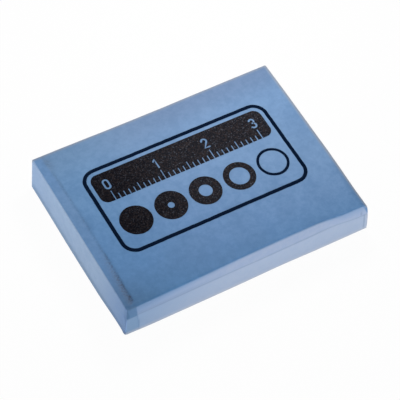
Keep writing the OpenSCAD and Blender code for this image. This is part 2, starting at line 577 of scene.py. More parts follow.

# %% [markdown]
# Hand-worn softness
#
# Soft rubber never stays a perfect bar. The right end leans in, the faces carry
# faint waves from handling, the front left foot has curled up a little, and near
# the left end a crease has been pressed in, along which the rubber is darker. These
# are small moves of the lattice's points, which keep the size of the CAD block. A
# line on the rubber is kept as each point's distance from it, so that the same
# numbers can press the line in here and colour it later.

# %% Crease
SEED_STEPS = (7.1, 3.3, 5.7)
CREASE_SHIFT = 0.2
CREASE_BOW = 0.43
CREASE_BOW_Y = 1
CREASE_BOW_REACH = 16
CREASE_WAVER = 0.1
CREASE_FRAY = 0.07
CREASE_MIDDLE = 0.5
CREASE_GROWS_Y = (2, 13)
CREASE_FADE = 0.8
CREASE_FADES_Y = (10.5, 14.5)
CREASE_PATCH_MEAN = 0.8
CREASE_PATCH_SPREAD = 0.4
CREASE_END_Y = FRONT + 0.9
CREASE_END_BLEND = 0.8
CREASE_Z = (HEIGHT - 1.2, HEIGHT - 0.6)


def wander(points, size, seed):
    """Soft random value from about -1 to 1 at each point, with waves of the given size"""
    shift = Vector([seed * step for step in SEED_STEPS])
    return np.array([noise.noise(Vector(point) / size + shift) for point in points])


def crease_line(points):
    """The crease's own x beside each point, which wavers like torn edges do"""
    flat = points * (0, 1, 1)
    bow = CREASE_BOW * ((points[:, 1] - CREASE_BOW_Y) / CREASE_BOW_REACH) ** 2
    bowed = CREASE_X + CREASE_SHIFT - bow
    return bowed + CREASE_WAVER * wander(flat, size=5, seed=3) + CREASE_FRAY * wander(flat, size=0.8, seed=4)


def crease_strength(points):
    """Strongest near the front, fading out towards the back, and gone at the shoulder"""
    flat = points * (0, 1, 1)
    to_front = between(CREASE_MIDDLE, 1, smooth(-points[:, 1], *CREASE_GROWS_Y))
    to_back = 1 - CREASE_FADE * smooth(points[:, 1], *CREASE_FADES_Y)
    patchy = CREASE_PATCH_MEAN + CREASE_PATCH_SPREAD * wander(flat, size=1.4, seed=5)
    ending = smooth(points[:, 1], CREASE_END_Y, CREASE_END_Y + CREASE_END_BLEND)
    return np.clip(to_front * to_back * patchy, 0, 1) * ending * smooth(points[:, 2], *CREASE_Z)


from_crease = form_x - crease_line(form)
strength = crease_strength(form)
print("crease, mm from the left end:", round(float(CREASE_X + CREASE_SHIFT - LEFT), 2))

# %% Seams
SEAM_Z = HEIGHT - SHOULDER_DROP - 0.05
SEAM_RISE = 0.35
SEAM_RISE_X = 16
SEAM_RISE_LENGTH = 4
SEAM_FALL = 0.45
SEAM_FALL_X = (18, 23)
SEAM_WAVER = 0.2
SEAM_WIDTH = 0.16
RIGHT_SEAM_X = RIGHT - 0.85
RIGHT_STRIP_X = RIGHT - 0.4
SHORT_SEAM_X = RIGHT - 1.47
SHORT_SEAM_Z = 6.1
SHORT_SEAM_HEIGHT = 0.6
# A band above the front seam's left part, darkened later with painted shade
UPPER_SEAM_RISE = 0.45
UPPER_SEAM_WIDTH = 0.4
UPPER_SEAM_X = (-16, -2)
BASE_Z = (0.4, 1.2)
LOW_SIDE_Z = (4.9, 5.6)
FRONT_Y = (-FRONT - 0.3, -FRONT - 0.05)
FRONT_END_X = CREASE_X - 0.15
FRONT_END_SLOPE = 0.13
FRONT_END_BLEND = 0.15


def seam_line(points):
    """Height of the faint seam along the front, which dips towards the right end"""
    x = points[:, 0]
    hump = SEAM_RISE * ridge(x - SEAM_RISE_X, SEAM_RISE_LENGTH) - SEAM_FALL * smooth(x, *SEAM_FALL_X)
    return SEAM_Z + hump + SEAM_WAVER * wander(points * (1, 0, 0), size=9, seed=6)


from_seam = form_z - seam_line(form)
above_base = smooth(form_z, *BASE_Z)
low_side = above_base * (1 - smooth(form_z, *LOW_SIDE_Z))
on_front = smooth(-form_y, *FRONT_Y)
front_end = FRONT_END_X + FRONT_END_SLOPE * (HEIGHT - form_z)
on_long_front = beyond(form_x - front_end, FRONT_END_BLEND)
front_seam = ridge(from_seam, SEAM_WIDTH) * on_front * on_long_front
right_seam = ridge(form_x - RIGHT_SEAM_X, SEAM_WIDTH) * on_front * low_side
right_strip = ridge(form_x - RIGHT_STRIP_X, SEAM_WIDTH) * low_side
short_seam = ridge(form_x - SHORT_SEAM_X, SEAM_WIDTH) * on_front
short_seam *= ridge(form_z - SHORT_SEAM_Z, SHORT_SEAM_HEIGHT)
upper_seam = ridge(from_seam - UPPER_SEAM_RISE, UPPER_SEAM_WIDTH) * on_front * on_long_front
upper_seam *= 1 - smooth(form_x, *UPPER_SEAM_X)
print("front seam, mm above the underside:", round(float(SEAM_Z), 2))

# %% Press, lean and curl
CREASE_WIDTH = 0.28
CREASE_DEPTH_BACK = 0.04
CREASE_DEPTH_FRONT = 0.1
SEAM_DEPTH = 0.035
RIGHT_SEAM_SHARE = 0.7
WAVE_HEIGHT = 0.03
RIPPLE_SHARE = 0.4
END_LEAN = 1.25
LEAN_CURVE = 1.2
LEAN_X = (8.0, RIGHT)
LEFT_FOOT_X = (19, -LEFT)
FOOT_LIFT = 0.62
FOOT_LIFT_Y = (7.5, 15.5)
FOOT_LIFT_Z = (0, 3)
FOOT_EASE = 0.6
FOOT_EASE_Y = (16.2, 17.5)
FOOT_BULGE = 0.07
FOOT_BULGE_Y = 1
FOOT_BULGE_WIDTH = 9
FOOT_BULGE_Z = (0, 4)
WIDENING = 0.0002
BACK_BULGE = 0.13
BACK_BULGE_Y = (10, BACK)

# The crease's mark presses it in here and darkens it in the material
crease_mark = ridge(from_crease, CREASE_WIDTH) * strength
crease_depth = between(CREASE_DEPTH_BACK, CREASE_DEPTH_FRONT, strength)
pressed = crease_mark * crease_depth + (front_seam + RIGHT_SEAM_SHARE * right_seam) * SEAM_DEPTH
waves = WAVE_HEIGHT * (wander(form, size=9, seed=1) + RIPPLE_SHARE * wander(form, size=3, seed=2))
soft = form - ways_out * ((pressed - waves) * above_base)[:, None]

lean_share = smooth(soft[:, 0], *LEAN_X)
soft[:, 0] -= END_LEAN * lean_share * (np.clip(soft[:, 2], 0, None) / HEIGHT) ** LEAN_CURVE
near_left = smooth(-soft[:, 0], *LEFT_FOOT_X)
eased = 1 - FOOT_EASE * smooth(-soft[:, 1], *FOOT_EASE_Y)
lifted = smooth(-soft[:, 1], *FOOT_LIFT_Y) * eased * near_left
bulged = ridge(soft[:, 1] - FOOT_BULGE_Y, FOOT_BULGE_WIDTH) * near_left
soft[:, 0] -= FOOT_BULGE * bulged * (1 - smooth(soft[:, 2], *FOOT_BULGE_Z))
soft[:, 2] += FOOT_LIFT * lifted * (1 - smooth(soft[:, 2], *FOOT_LIFT_Z))
soft[:, 1] *= 1 + WIDENING * np.clip(soft[:, 0], 0, None)
soft[:, 1] += BACK_BULGE * smooth(soft[:, 1], *BACK_BULGE_Y)
print("largest move, mm:", round(float(np.abs(soft - form).max()), 2))

# %% [markdown]
# Marks for the material
#
# The rubber isn't one colour. Its front and its cut left end are paler, with a
# painted reflection of the white card on the front and painted shade at the cut
# end. Its seams are darker, with a band of painted shade above the front one, its
# back and right rims are paler, the right one with painted light, its feet carry
# painted shade and a painted reflection, and the crease is darker. Painting that by
# hand would need an image, so each place gets a mark instead: one number from 0 to 1
# at every point of the mesh. Blender keeps such numbers as attributes, and a
# material can read them.

# %% Block mesh
def mesh_from(name, points, faces):
    """A smooth-shaded mesh object from points in millimetres"""
    mesh = bpy.data.meshes.new(name)
    mesh.from_pydata((points * MM).tolist(), [], faces.tolist())
    mesh.shade_smooth()
    piece = bpy.data.objects.new(name, mesh)
    bpy.context.collection.objects.link(piece)
    return piece


def store(piece, name, values):
    """Keeps one number for each point of a mesh, for its material to read"""
    layer = piece.data.attributes.new(name, "FLOAT", "POINT")
    layer.data.foreach_set("value", np.asarray(values, np.float32))


rubber_block = mesh_from("rubber_block", soft, quads)
print("block mesh:", len(rubber_block.data.vertices), "points")

# %% Front, patch and cut end
SHOULDER_BLEND = (-0.12, 0.15)
WEDGE_X = RIGHT - 1.17
WEDGE_SLOPE = 0.33
WEDGE_BLEND = 0.1
PATCH_Y = FRONT + 0.45
PATCH_Y_BLEND = (0, 0.2)
PATCH_Z = 5.35
PATCH_Z_BLEND = 0.12
STRIP_BLEND = 0.1
CUT_X = LEFT + 0.22
CUT_X_BLEND = (0, 0.15)
CUT_FLARE = 0.1
CUT_FLARE_DROP = (0.1, 0.4)
BAND_BLEND = (0, 0.4)
BAND_Z = (HEIGHT - 0.8, HEIGHT - 0.4)

past_shoulder = FRONT + shoulder_width(form_x) - form_y
wedge = WEDGE_X + WEDGE_SLOPE * (HEIGHT - form_z)
front_side = smooth(past_shoulder, *SHOULDER_BLEND) * on_long_front * beyond(wedge - form_x, WEDGE_BLEND)
corner_patch = smooth(PATCH_Y - form_y, *PATCH_Y_BLEND) * (1 - on_long_front)
patch_low = corner_patch * beyond(PATCH_Z - form_z, PATCH_Z_BLEND)
strip = beyond(from_seam, STRIP_BLEND)
cut_reach = CUT_X + CUT_FLARE * smooth(HEIGHT - form_z, *CUT_FLARE_DROP)
left_side = smooth(cut_reach - form_x, *CUT_X_BLEND)
end_band = smooth(-from_crease, *BAND_BLEND) * (1 - front_side)
end_band *= smooth(form_z, *BAND_Z)
print("points of the cut left end:", int((left_side == 1).sum()))

# %% Rims, crease, smudges and feet
BACK_RIM_Y = (BACK - 0.75, BACK - 0.15)
BACK_RIM_Z = (HEIGHT - 0.6, HEIGHT - 0.3)
RIGHT_RIM_X = (RIGHT - 1.0, RIGHT - 0.3)
RIGHT_RIM_Z = (HEIGHT - 1.2, HEIGHT - 0.7)
CORNER_LINE_X = (RIGHT - 0.3, RIGHT - 0.08)
CORNER_LINE_Z = (0.3, 0.8)
SMUDGE_LEFT = 0.4
SMUDGE_WIDTH = 0.45
SMUDGE_Y = (3, 14)
BACK_SMUDGE = 0.6
BACK_SMUDGE_RIGHT = 0.3
BACK_SMUDGE_WIDTH = 0.6
BACK_SMUDGE_INSET = 2
BACK_SMUDGE_LENGTH = 1.5
SMUDGE_BLEND = 0.3
CREASE_END_WIDTH = 0.3
CREASE_END_INSET = 1.1
CREASE_END_LENGTH = 0.7
FRONT_SEAM_SHADE = 0.8
RIGHT_SEAM_SHADE = 0.8
UPPER_SEAM_SHADE = 0.35
LEFT_FOOT_Z = (0.7, 2.5)
FRONT_FOOT_Z = (0.3, 1.3)

crease_end = ridge(from_crease, CREASE_END_WIDTH)
crease_end *= ridge(form_y - CREASE_END_Y - CREASE_END_INSET, CREASE_END_LENGTH)
smudge = ridge(from_crease + SMUDGE_LEFT, SMUDGE_WIDTH) * smooth(-form_y, *SMUDGE_Y)
back_smudge = BACK_SMUDGE * ridge(from_crease - BACK_SMUDGE_RIGHT, BACK_SMUDGE_WIDTH)
smudge += back_smudge * ridge(form_y - BACK + BACK_SMUDGE_INSET, BACK_SMUDGE_LENGTH)
marks = {
    "front_side": front_side,
    "strip": strip,
    "corner_patch": corner_patch,
    "patch_low": patch_low,
    "left_side": left_side,
    # Darker along the crease, where it is pressed in
    "dirt": crease_mark + crease_end * smooth(form_z, *CREASE_Z),
    "smudge": smudge * smooth(form_y, CREASE_END_Y - SMUDGE_BLEND, CREASE_END_Y + SMUDGE_BLEND),
    # Darker seams, and a band of painted shade above the front seam's left part
    "seam": FRONT_SEAM_SHADE * front_seam + RIGHT_SEAM_SHADE * right_seam + short_seam
            + UPPER_SEAM_SHADE * upper_seam,
    "right_strip": right_strip,
    "corner_line": smooth(form_x, *CORNER_LINE_X) * smooth(form_z, *CORNER_LINE_Z),
    # Paler rims along the back and the right; the right one is paler still, as painted light where it lies
    # in shade
    "back_rim": smooth(form_y, *BACK_RIM_Y) * smooth(form_z, *BACK_RIM_Z),
    "right_rim": smooth(form_x, *RIGHT_RIM_X) * smooth(form_z, *RIGHT_RIM_Z),
    "end_band": end_band,
    # Painted contact shade low on the cut end, and a painted reflection of the white card along the front
    # foot
    "left_foot": left_side * (1 - smooth(form_z, *LEFT_FOOT_Z)),
    "front_foot": on_front * (1 - smooth(form_z, *FRONT_FOOT_Z)),
}
for name, values in marks.items():
    store(rubber_block, name, np.clip(values, 0, 1))
print("marks:", list(marks))

# %% [markdown]
# Eraser rubber
#
# The rubber is matt and a little waxy. Its top is a deeper blue, mottled like
# kneaded putty, and painted shade and sheen make it deeper towards the front left
# and paler towards the back right. The shoulder, the front and the cut left end are
# paler and greyer. The front's paleness, which grows towards the right, is a painted
# reflection of the white card, and the cut end carries painted shade towards its
# front and back. The marks on the mesh say where each of these lies, and noise on
# the object's own coordinates breaks them up. A colour that multiplies what lies
# under it works as a shade or as a tint.

# %% Patterns in the rubber
class RubberPatterns:
    """What the rubber's colours are mixed by: its axes, its noises and the marks on its mesh"""

    def __init__(self, nodes):
        self.nodes = nodes
        self.place = nodes.add("ShaderNodeTexCoord").out("Object")
        axes = nodes.add("ShaderNodeSeparateXYZ", None, {"Vector": self.place})
        self.x, self.y, self.z = (axes.out(name) for name in "XYZ")
        self.cloud = nodes.noise(self.place, waves_per_mm=0.16, detail=3).ramp(0.35, 0.65)
        self.mottle = nodes.noise(self.place, waves_per_mm=0.9, detail=4, roughness=0.65).ramp(0.3, 0.7)
        self.specks = nodes.noise(self.place, waves_per_mm=2.6, detail=3, roughness=0.7).ramp(0.45, 0.62)
        self.grain = nodes.noise(self.place, waves_per_mm=7.0, detail=2, roughness=0.6)

    def mark(self, name):
        """The number that is stored on the mesh under a name"""
        return self.nodes.add("ShaderNodeAttribute", {"attribute_name": name}).out("Fac")


# %% Blue of the top
TOP_BLUE = srgb(117, 151, 192)
DEEP_BLUE = srgb(101, 143, 193)
SHADE_BLUE = srgb(92, 130, 174)
CLOUD_SHARE = 0.3
# Painted shade along the back, which tempers the close lamp there
BACK_SHADE_BLUE = srgb(115, 143, 179)
BACK_BLUE_SHARE = 0.8
BACK_BLUE_Y = (9, BACK)
# Painted shade at the front left corner
CORNER_SHADE_BLUE = srgb(92, 127, 170)
CORNER_SHARE = 0.9
CORNER_REACH = (11, 1)
# The fade from the deep blue at the front left to the top's blue at the back right is painted shade and
# sheen
DEEP_SLANT = 0.4
DEEP_MOTTLE = 4
DEEP_REACH = (-18, 12)
END_BAND_SHARE = 0.7
END_BAND_Y = (4, 14)
END_TINT = (1.12, 1.01, 0.98, 1.0)
# Painted shades that multiply the blue: at the back right, along the left and along the front
BACK_SHADE = (0.87, 0.85, 0.87, 1.0)
BACK_SHADE_Y = (11, 17)
BACK_SHADE_X = (-14, 4)
LEFT_SHADE = (0.88, 0.98, 1.0, 1.0)
LEFT_SHADE_X = (-4, -20)
FRONT_SHADE = (0.88, 0.94, 0.95, 1.0)
FRONT_SHADE_Y = (-11, -17)
MOTTLE_DARK = (0.92, 0.94, 0.95, 1.0)
MOTTLE_PALE = (1.08, 1.06, 1.05, 1.0)


def top_colour(nodes, rubber):
    """Deeper blue towards the front left and paler towards the back right as painted shade and sheen, with
    painted shade at the front left corner, the back, the left and the front, slightly clouded, and mottled
    all over
    """
    x, y = rubber.x, rubber.y
    # Painted shade and sheen: deeper blue at the front left, paler at the back right
    to_back = (y + x * DEEP_SLANT + rubber.mottle * (DEEP_MOTTLE * MM)).step(*DEEP_REACH)
    blue = nodes.mix(to_back, DEEP_BLUE, TOP_BLUE)
    blue = nodes.mix(rubber.cloud * CLOUD_SHARE, blue, SHADE_BLUE)
    # Painted shade along the back
    blue = nodes.mix(y.step(*BACK_BLUE_Y) * BACK_BLUE_SHARE, blue, BACK_SHADE_BLUE)
    # Painted shade at the front left corner
    from_corner = x + y - (LEFT + FRONT) * MM
    blue = nodes.mix(from_corner.step(*CORNER_REACH) * CORNER_SHARE, blue, CORNER_SHADE_BLUE)
    end_band = rubber.mark("end_band")
    blue = nodes.mix(end_band * y.step(*END_BAND_Y) * END_BAND_SHARE, blue, DEEP_BLUE)
    blue = nodes.mix(end_band, blue, END_TINT, "MULTIPLY")
    # Painted shade at the back right, kept off the right rim, then along the left and the front
    back_right = y.step(*BACK_SHADE_Y) * x.step(*BACK_SHADE_X)
    blue = nodes.mix(back_right * (1 - rubber.mark("right_rim")), blue, BACK_SHADE, "MULTIPLY")
    blue = nodes.mix(x.step(*LEFT_SHADE_X), blue, LEFT_SHADE, "MULTIPLY")
    blue = nodes.mix(y.step(*FRONT_SHADE_Y), blue, FRONT_SHADE, "MULTIPLY")
    mottling = nodes.mix(rubber.mottle, MOTTLE_DARK, MOTTLE_PALE)
    return nodes.mix(1.0, blue, mottling, "MULTIPLY")


# %% Paler front and cut end
FRONT_LEFT = srgb(136, 162, 196)
# Pale end of the front's fade: a painted reflection of the white card
FRONT_PALE_REFLECTION = srgb(169, 184, 208)
FRONT_SLANT = 0.7
FRONT_MOTTLE = 1
FRONT_REACH = (-32, -5)
STRIP_SKIN = srgb(148, 166, 204)
STRIP_SHARE = 0.25
STRIP_MOTTLE = 0.2
LIGHT_BLUE = srgb(128, 160, 200)
FRONT_LIGHT_SHARE = 0.15
CUT_LIGHT_SHARE = 0.32
CUT_SKIN = srgb(165, 189, 219)
# Painted shade on the cut end, towards its front and its back
CUT_SHADE = srgb(121, 155, 205)
CUT_FRONT_REACH = (-5, -19)
CUT_MOTTLE = 2
CUT_BACK_SHARE = 0.3
CUT_BACK_Y = (8, 18)


def front_colour(nodes, rubber):
    """The front, deeper blue towards the left and paler towards the right with a painted reflection of the
    white card, with the shoulder strip along its top
    """
    slanted = rubber.x - rubber.z * FRONT_SLANT
    # Paler towards the right with a painted reflection of the white card
    to_right = (slanted + rubber.mottle * (FRONT_MOTTLE * MM)).step(*FRONT_REACH)
    front = nodes.mix(to_right, FRONT_LEFT, FRONT_PALE_REFLECTION)
    strip_share = STRIP_SHARE + rubber.mottle * STRIP_MOTTLE
    front = nodes.mix(rubber.mark("strip") * strip_share, front, STRIP_SKIN)
    return nodes.mix(rubber.mottle * FRONT_LIGHT_SHARE, front, LIGHT_BLUE)


def cut_colour(nodes, rubber):
    """The cut left end, darker towards its front and slightly towards its back with painted shade"""
    # Painted shade towards the front and the back of the cut end
    near_front = (rubber.y + rubber.mottle * (CUT_MOTTLE * MM)).step(*CUT_FRONT_REACH)
    near_back = rubber.y.step(*CUT_BACK_Y) * CUT_BACK_SHARE
    cut_end = nodes.mix(near_front + near_back, CUT_SKIN, CUT_SHADE)
    return nodes.mix(rubber.mottle * CUT_LIGHT_SHARE, cut_end, LIGHT_BLUE)


# %% Seams, rims, feet, smudges and the crease
# The corner patch is darker high up, with the same painted shade as the top's front left corner
PATCH_HIGH = srgb(92, 127, 166)
PATCH_LOW = srgb(128, 157, 191)
SEAM_GREY = srgb(104, 124, 156)
# A pale grey, which along the front foot is a painted reflection of the white card
FOOT_LIGHT = srgb(192, 196, 205)
CORNER_LINE = srgb(118, 133, 166)
# Painted contact shade for the cut end's foot
FOOT_SHADE = (0.7, 0.74, 0.77, 1.0)
BACK_RIM = srgb(141, 150, 164)
# The right rim is paler than the back rim, as painted light where it lies in shade
RIGHT_RIM = srgb(160, 168, 182)
SEAM_FOOT_AND_RIM_LAYERS = (
    # Darker seams, with painted shade in the band above the front seam
    ("seam", 0.5, SEAM_GREY, "MIX"),
    ("right_strip", 0.3, FOOT_LIGHT, "MIX"),
    # Painted reflection of the white card along the front foot
    ("front_foot", 0.5, FOOT_LIGHT, "MIX"),
    ("corner_line", 0.6, CORNER_LINE, "MIX"),
    # Painted contact shade low on the cut end
    ("left_foot", 0.85, FOOT_SHADE, "MULTIPLY"),
    ("back_rim", 0.8, BACK_RIM, "MIX"),
    ("right_rim", 0.8, RIGHT_RIM, "MIX"),
)
SMUDGE_BROWN = srgb(92, 104, 126)
SMUDGE_SHARE = 0.25
SMUDGE_SPECKS = 0.45
# Darker, speckled grey along the crease
CREASE_DARK_GREY = srgb(62, 74, 98)
CREASE_DARK_SHARE = 0.8
CREASE_DARK_MEAN = 0.35
CREASE_DARK_SPECKS = 0.6
CREASE_DARK_GRAIN = 0.3


def seam_foot_and_rim_layers(nodes, rubber, skin):
    """The seams, the feet and the rims, each laid over the skin where its mark is: painted shade on the left
    foot and above the front seam, a painted reflection on the front foot and painted light on the right rim
    """
    for name, share, colour, blend in SEAM_FOOT_AND_RIM_LAYERS:
        skin = nodes.mix(rubber.mark(name) * share, skin, colour, blend)
    return skin


def smudge_and_crease_layers(nodes, rubber, skin):
    """Smudges beside the crease, and a darker, speckled line along it"""
    smudged = rubber.mark("smudge") * (SMUDGE_SHARE + rubber.specks * SMUDGE_SPECKS)
    skin = nodes.mix(smudged, skin, SMUDGE_BROWN)
    speckled = CREASE_DARK_MEAN + rubber.specks * CREASE_DARK_SPECKS + rubber.grain * CREASE_DARK_GRAIN
    return nodes.mix((rubber.mark("dirt") * speckled).clipped() * CREASE_DARK_SHARE, skin, CREASE_DARK_GREY)


# %% Rubber material
FRONT_SHARE = 0.95
PATCH_SHARE = 0.85
CUT_SHARE = 0.95
GRAIN_HEIGHT = 0.4
MOTTLE_HEIGHT = 0.6
BUMP_STRENGTH = 0.25
BUMP_HEIGHT = 0.03
RUBBER_ROUGHNESS = 0.5
GRAIN_ROUGHNESS = 0.16
RUBBER_GLOSS = 0.15


def rubber_material():
    """Matt, slightly waxy rubber: the top's blue, with every other colour laid over it in turn"""
    material, nodes = new_material("blue_eraser_rubber")
    rubber = RubberPatterns(nodes)
    front_share = rubber.mark("front_side") * FRONT_SHARE
    skin = nodes.mix(front_share, top_colour(nodes, rubber), front_colour(nodes, rubber))
    # The corner patch: painted shade high up, paler low down
    patch = nodes.mix(rubber.mark("patch_low"), PATCH_HIGH, PATCH_LOW)
    skin = nodes.mix(rubber.mark("corner_patch") * PATCH_SHARE, skin, patch)
    skin = nodes.mix(rubber.mark("left_side") * CUT_SHARE, skin, cut_colour(nodes, rubber))
    skin = smudge_and_crease_layers(nodes, rubber, seam_foot_and_rim_layers(nodes, rubber, skin))
    height = rubber.grain * GRAIN_HEIGHT + rubber.mottle * MOTTLE_HEIGHT
    values = {"Strength": BUMP_STRENGTH, "Distance": BUMP_HEIGHT * MM, "Height": height}
    bump = nodes.add("ShaderNodeBump", None, values).out()
    shader = nodes.add("ShaderNodeBsdfPrincipled", None, {
        "Base Color": skin,
        "Roughness": RUBBER_ROUGHNESS + rubber.grain * GRAIN_ROUGHNESS,
        "Normal": bump,
        "Specular IOR Level": RUBBER_GLOSS,
    })
    nodes.add("ShaderNodeOutputMaterial", None, {"Surface": shader.out()})
    return material


rubber_look = rubber_material()
rubber_block.data.materials.append(rubber_look)
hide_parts("eraser_block")
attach(rubber_block, "root")
print("nodes of the rubber:", len(rubber_look.node_tree.nodes))

# %% [markdown]
# The print
#
# An eraser's print is stamped on in dark ink. Here it is a rounded frame line, a
# solid band with a bare millimetre scale in it, and a row of discs that open up into
# thin rings. A picture could be laid over the top instead, but its edges would blur
# close up. All of it follows rules, so Geometry Nodes draw it as a set of stamps: a
# brush is swept along the frame's path, and the marks and discs are instances on
# lines of points, whose sizes come from their numbers.

# %% Sizes of the print
FRAME_LINE = 0.68
FRAME_RADIUS = 2.8
BAND_GAP = 0.7
BAND_HEIGHT = 6.2
BAND_RADIUS = 1.5
TICK_PITCH = 1.0
TICK_WIDTH = 0.2
TICK_LENGTHS = (1.1, 1.6, 2.1)
MARKS_PER_NUMERAL = 10
NUMERAL_COUNT = 4
NUMERAL_HEIGHT = 1.9
NUMERAL_STROKE = 0.38
NUMERAL_GAP = 0.4
DISC_COUNT = 5
DISC_DIAMETER = 6.0
RING_LINE = 0.5
INK_THICKNESS = 0.05
STAMP_HEIGHT = 1.0

print_low, print_high = PRINT_LOW / MM, PRINT_HIGH / MM
frame_width, frame_depth = (print_high - print_low)[:2]
frame_x, frame_y = ((print_high + print_low) / 2)[:2]
band_inset = FRAME_LINE + BAND_GAP
band_width = frame_width - 2 * band_inset
band_y = print_high[1] - band_inset - BAND_HEIGHT / 2
band_low = band_y - BAND_HEIGHT / 2
scale_length = (NUMERAL_COUNT - 1) * MARKS_PER_NUMERAL * TICK_PITCH
scale_x = frame_x - scale_length / 2
disc_y = (band_low + print_low[1] + FRAME_LINE) / 2
disc_pitch = band_width / DISC_COUNT
print("frame line, mm:", round(float(frame_width), 2), "by", round(float(frame_depth), 2))

# %% Numerals
NUMERAL_GRID = 4


def bend(middle, radius, start, end, steps=10):
    """Points on a round stretch between two angles"""
    angles = np.radians(np.linspace(start, end, steps + 1))
    return [(middle[0] + radius * math.cos(a), middle[1] + radius * math.sin(a)) for a in angles]


def numeral_strokes():
    """Middle lines of the numerals 0 to 3, drawn 2 wide and 4 high"""
    return [
        [bend((1, 3), 1, 0, 180) + bend((1, 1), 1, 180, 360) + [(2, 3)]],
        [[(0.3, 3.2), (1.1, 4), (1.1, 0)]],
        [bend((1, 3), 1, 170, -35) + [(0, 0), (2, 0)]],
        [bend((1, 3.05), 0.95, 150, -90), bend((1, 1.05), 1.05, 90, -150)],
    ]


def draw_numerals():
    """One curve object with every stroke in its place on the band"""
    curve = bpy.data.curves.new("numeral_strokes", "CURVE")
    curve.dimensions = "3D"
    grid = NUMERAL_HEIGHT / NUMERAL_GRID
    foot = band_low + max(TICK_LENGTHS) + NUMERAL_GAP + NUMERAL_STROKE / 2
    for number, strokes in enumerate(numeral_strokes()):
        left = scale_x + number * MARKS_PER_NUMERAL * TICK_PITCH - grid
        for stroke in strokes:
            spline = curve.splines.new("POLY")
            spline.points.add(len(stroke) - 1)
            for point, (x, y) in zip(spline.points, stroke):
                point.co = ((left + x * grid) * MM, (foot + y * grid) * MM, 0, 1)
    holder = bpy.data.objects.new("numeral_strokes", curve)
    bpy.context.collection.objects.link(holder)
    return holder


numerals = draw_numerals()
print("numeral strokes:", len(numerals.data.splines))

# %% [markdown]
# Node groups for geometry
#
# A node group is like a function: its inputs have names, and a modifier on an
# object calls it. The modifier knows its inputs by identifiers, so they are looked
# up by name first. What the group makes is then copied to a plain mesh, because a
# finished piece shouldn't depend on a modifier any more.

# %% Node group helpers
def new_group(name, inputs):
    """A node group with named inputs, the Nodes that fill it and the inputs' sockets by name"""
    tree = bpy.data.node_groups.new(name, "GeometryNodeTree")
    tree.interface.new_socket("Geometry", in_out="OUTPUT", socket_type="NodeSocketGeometry")
    for label, kind in inputs.items():
        tree.interface.new_socket(label, in_out="INPUT", socket_type="NodeSocket" + kind)
    nodes = Nodes(tree)
    entry = nodes.add("NodeGroupInput")
    return tree, nodes, {label: entry.out(label) for label in inputs}


def grow(name, tree, values):
    """Runs a node group with its inputs set by identifier, and keeps the result as a plain mesh"""
    holder = bpy.data.objects.new(name + "_plan", bpy.data.meshes.new(name + "_plan"))
    bpy.context.collection.objects.link(holder)
    modifier = holder.modifiers.new(name, "NODES")
    modifier.node_group = tree
    for socket in tree.interface.items_tree:
        if socket.in_out == "INPUT":
            modifier[socket.identifier] = values[socket.name]
    bpy.context.view_layer.update()
    seen = holder.evaluated_get(bpy.context.evaluated_depsgraph_get())
    mesh = bpy.data.meshes.new_from_object(seen)
    bpy.data.objects.remove(holder)
    piece = bpy.data.objects.new(name, mesh)
    bpy.context.collection.objects.link(piece)
    return piece


def moved(nodes, geometry, place):
    """The geometry, shifted by a place"""
    values = {"Geometry": geometry, "Translation": place}
    return nodes.add("GeometryNodeTransform", None, values).out()


def vector(nodes, x, y, z):
    """One vector from three numbers or sockets"""
    return nodes.add("ShaderNodeCombineXYZ", None, {"X": x, "Y": y, "Z": z}).out()


def boolean(nodes, operation, meshes):
    """Adds or cuts closed meshes, with the solver that is made for them"""
    settings = {"operation": operation, "solver": "MANIFOLD"}
    return nodes.add("GeometryNodeMeshBoolean", settings, meshes).out()


def cut(nodes, solid, cutters):
    """The solid without what the cutters reach"""
    return boolean(nodes, "DIFFERENCE", {"Mesh 1": solid, "Mesh 2": cutters})


# %% Frame stamp
CORNER_STEPS = 8
PATH_STEP = 0.3
WOBBLE = 0.12
WOBBLES_PER_MM = 0.9
NOISE_MIDDLE = (0.5, 0.5, 0.5)


def soft_rectangle(nodes, width, depth, radius):
    """Closed path round a rectangle with round corners"""
    values = {"Width": width, "Height": depth}
    flat = nodes.add("GeometryNodeCurvePrimitiveQuadrilateral", None, values).out()
    values = {"Curve": flat, "Count": CORNER_STEPS, "Radius": radius}
    return nodes.add("GeometryNodeFilletCurve", {"mode": "POLY"}, values).out()


def wavering(nodes, path):
    """The path, drawn in short steps and shifted sideways by noise"""
    values = {"Curve": path, "Length": PATH_STEP * MM}
    even = nodes.add("GeometryNodeResampleCurve", {"mode": "LENGTH"}, values).out()
    place = nodes.add("GeometryNodeInputPosition").out()
    values = {"Vector": place, "Scale": WOBBLES_PER_MM / MM, "Detail": 2.0}
    cloud = nodes.add("ShaderNodeTexNoise", None, values).out("Color")
    centred = nodes.add("ShaderNodeVectorMath", {"operation": "SUBTRACT"}, {0: cloud, 1: NOISE_MIDDLE}).out()
    sideways = (WOBBLE * MM, WOBBLE * MM, 0)
    shift = nodes.add("ShaderNodeVectorMath", {"operation": "MULTIPLY"}, {0: centred, 1: sideways}).out()
    return nodes.add("GeometryNodeSetPosition", None, {"Geometry": even, "Offset": shift}).out()


def frame_stamp(nodes, sizes):
    """A brush as wide as the line, swept along a path that a worn stamp makes waver"""
    line = sizes["Line Width"]
    path = soft_rectangle(nodes, sizes["Frame Width"] - line, sizes["Frame Depth"] - line,
                          sizes["Corner Radius"] - line * 0.5)
    values = {"Width": line, "Height": STAMP_HEIGHT * MM}
    brush = nodes.add("GeometryNodeCurvePrimitiveQuadrilateral", None, values).out()
    values = {"Curve": wavering(nodes, path), "Profile Curve": brush}
    return nodes.add("GeometryNodeCurveToMesh", None, values).out()


# %% Band stamp
WELD = 0.001
BRUSH_SIDES = 12
BALL_RINGS = 8


